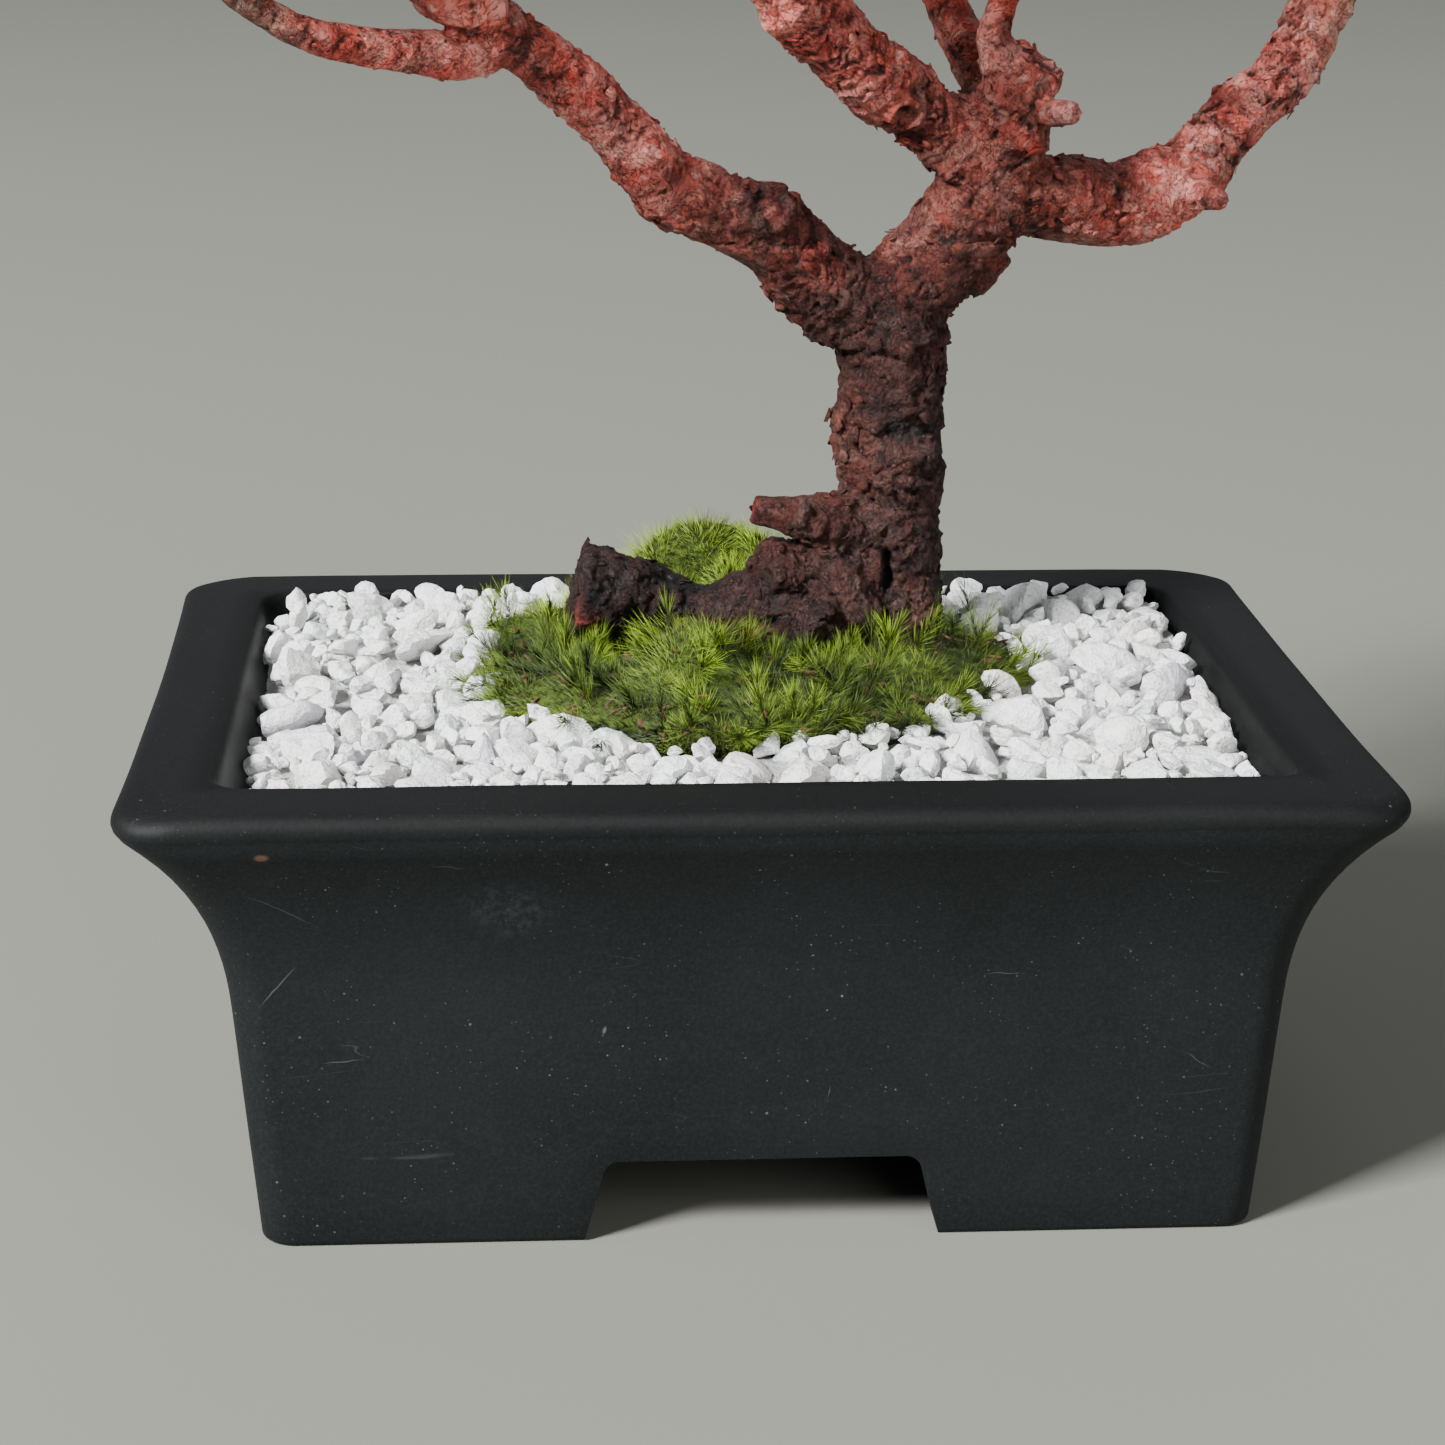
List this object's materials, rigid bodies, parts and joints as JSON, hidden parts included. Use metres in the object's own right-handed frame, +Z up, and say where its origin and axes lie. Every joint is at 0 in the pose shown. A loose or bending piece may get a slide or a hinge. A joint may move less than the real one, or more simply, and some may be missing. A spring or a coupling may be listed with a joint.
{
  "type": "japanese black pine bonsai",
  "caption": "Small pine tree with a forked, flaky trunk and pads of stiff needles, growing through moss and white gravel in a matte black flared rectangular pot.",
  "frame": {"origin": "centre of the pot's foot on the ground, which is also the centre of the whole object's box at its base", "axes": "+Z up the tree, +X along the pot's long side, -Y towards the side that the picture shows"},
  "size_m": [0.235, 0.132, 0.2569],
  "materials": {
    "pot": "matte",
    "drain_screen": "matte",
    "soil": "matte",
    "gravel": "matte",
    "moss": "matte",
    "bark": "matte",
    "needles": "satin"
  },
  "bodies": {
    "root": {"drain_screen_left": "drain_screen", "drain_screen_right": "drain_screen", "gravel": "gravel", "moss": "moss", "pot": "pot", "soil": "soil", "spray_01": "needles", "spray_02": "needles", "spray_03": "needles", "spray_04": "needles", "spray_05": "needles", "spray_06": "needles", "spray_07": "needles", "spray_08": "needles", "spray_09": "needles", "spray_10": "needles", "spray_11": "needles", "spray_12": "needles", "spray_13": "needles", "spray_14": "needles", "spray_15": "needles", "spray_16": "needles", "spray_17": "needles", "spray_18": "needles", "spray_19": "needles", "spray_20": "needles", "spray_21": "needles", "spray_22": "needles", "spray_23": "needles", "spray_24": "needles", "spray_25": "needles", "spray_26": "needles", "spray_27": "needles", "spray_28": "needles", "spray_29": "needles", "spray_30": "needles", "spray_31": "needles", "spray_32": "needles", "spray_33": "needles", "spray_34": "needles", "spray_35": "needles", "spray_36": "needles", "spray_37": "needles", "spray_38": "needles", "spray_39": "needles", "spray_40": "needles", "spray_41": "needles", "spray_42": "needles", "spray_43": "needles", "spray_44": "needles", "spray_45": "needles", "tree": "bark"}
  },
  "joints": []
}
